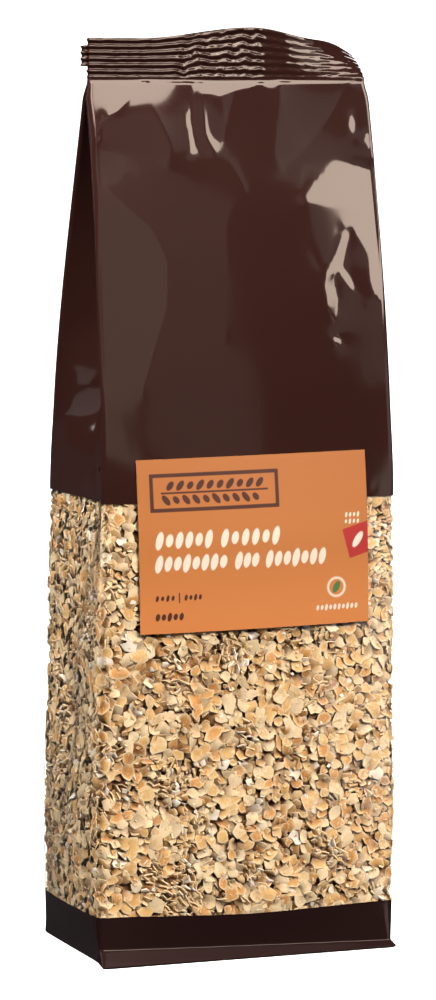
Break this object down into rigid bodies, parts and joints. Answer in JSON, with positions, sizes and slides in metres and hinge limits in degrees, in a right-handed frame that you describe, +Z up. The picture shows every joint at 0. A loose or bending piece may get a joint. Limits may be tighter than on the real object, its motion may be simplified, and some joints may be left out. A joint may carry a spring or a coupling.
{
  "type": "bag of rolled oats",
  "caption": "Sealed side-gusset film bag of fine rolled oats standing on a flat block bottom, with a ribbed top seal and a rectangular front label.",
  "frame": {"origin": "middle of the base's bounding box, on the surface the bag stands on", "axes": "+Z up along the bag's height to the top seal, -Y out of the front with the label, +X to the right as seen from the front"},
  "size_m": [0.1052, 0.0703, 0.2933],
  "materials": {
    "bag_film": "glossy dark brown print on clear film, with a clear window to the oats",
    "label_paper": "smooth coated paper with a low sheen"
  },
  "bodies": {
    "root": {"bag": "bag_film", "label": "label_paper"}
  },
  "joints": []
}
